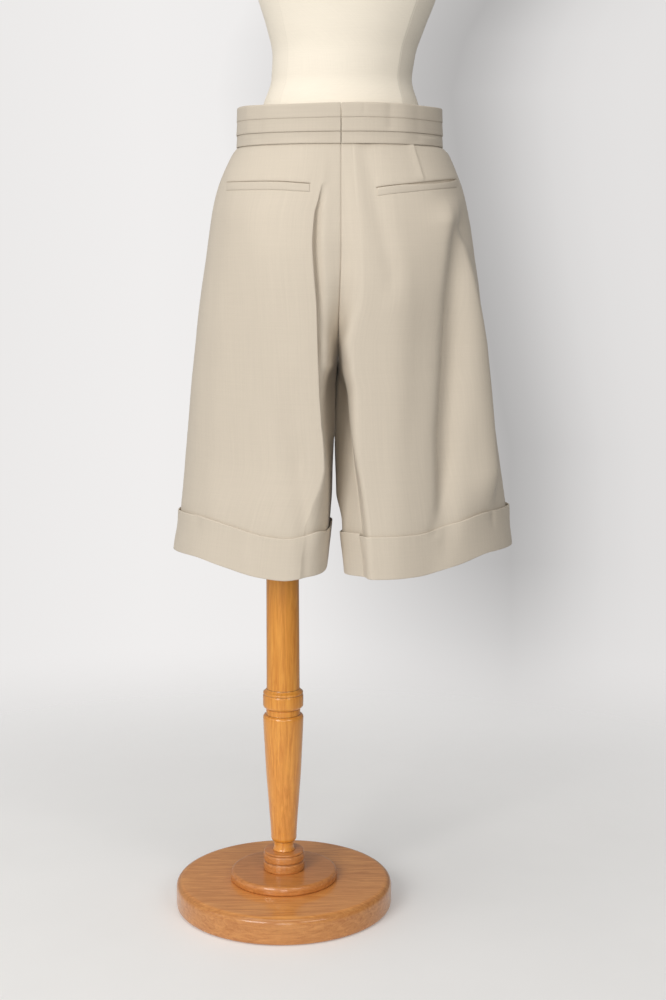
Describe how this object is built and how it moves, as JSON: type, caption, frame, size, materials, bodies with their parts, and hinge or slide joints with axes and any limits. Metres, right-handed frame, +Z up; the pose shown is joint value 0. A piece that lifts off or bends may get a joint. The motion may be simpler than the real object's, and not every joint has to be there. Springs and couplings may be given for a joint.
{
  "type": "pleated shorts on a dress form",
  "caption": "High-waisted wide-leg pleated shorts with a tucked waistband, welt pockets and turn-ups, on a limbless dress form with an off-centre turned wooden stand.",
  "frame": {"origin": "centre of the stand's round base at its underside, on the post's axis and on the floor", "axes": "+Z up; +Y the way the wearer faces, so the pictured back faces -Y; +X to the right in the picture, the wearer's right"},
  "size_m": [0.5082, 0.33, 1.7002],
  "materials": {
    "cloth": "fine matt twill suiting, warm stone beige",
    "linen": "stretched cream linen",
    "wood": "honey-coloured beech, glossy varnish",
    "button": "polished horn-like resin"
  },
  "bodies": {
    "root": {"back_left": "cloth", "back_right": "cloth", "front_left": "cloth", "front_right": "cloth", "waistband_left": "cloth", "waistband_right": "cloth", "cuff_left": "cloth", "cuff_right": "cloth", "welt_left": "cloth", "welt_right": "cloth", "fly_placket": "cloth", "band_button": "button", "form_torso": "linen", "form_plate": "wood", "neck_cap": "wood", "post_upper": "wood", "post_lower": "wood", "base_socket": "wood", "base_step": "wood", "base_disc": "wood"}
  },
  "joints": []
}
